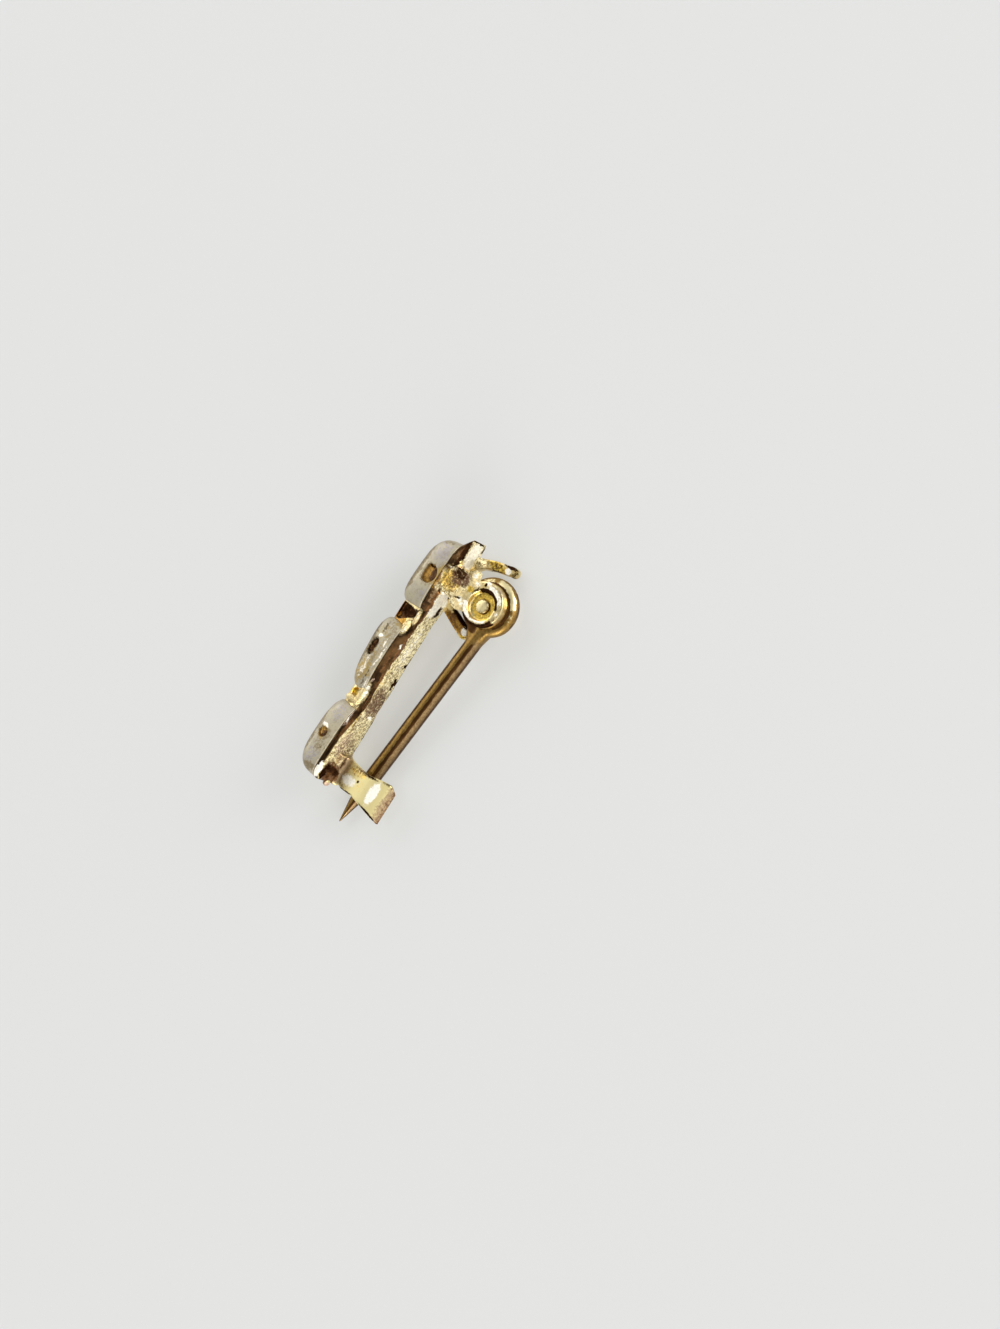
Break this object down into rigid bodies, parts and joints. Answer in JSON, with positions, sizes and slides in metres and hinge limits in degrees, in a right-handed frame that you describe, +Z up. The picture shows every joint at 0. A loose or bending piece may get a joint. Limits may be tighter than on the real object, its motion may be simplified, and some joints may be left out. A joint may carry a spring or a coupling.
{
  "type": "lapel pin",
  "caption": "Small two-tone bar pin: pillow-shaped white metal lobes on a yellow metal rail, with a riveted swinging stem and a curled catch.",
  "frame": {"origin": "bottom centre of the part's box, on the surface that the pin lies on", "axes": "+X along the bar from the joint to the catch, +Y from the front to the back where the stem is, +Z up along the hinge axis"},
  "size_m": [0.0196, 0.0074, 0.003],
  "materials": {
    "yellow_gold": "polished yellow gold colour on the walls, coarse and matt on the filed back, tarnished near the solder",
    "white_metal": "satin white metal, slightly warm",
    "stem_bronze": "drawn wire, bronze-yellow with brown tarnish"
  },
  "bodies": {
    "bar": {"gold_frame": "yellow_gold", "lobe_hinge_end": "white_metal", "lobe_middle": "white_metal", "lobe_catch_end": "white_metal", "rivet": "stem_bronze"},
    "stem": {"pin_stem": "stem_bronze"}
  },
  "joints": [
    {"name": "stem_swing", "type": "hinge", "parent": "bar", "child": "stem", "pos_m": [-0.00666, 0.00187, 0.0015], "axis": [0, 0, 1], "range_deg": [0, 120]}
  ]
}
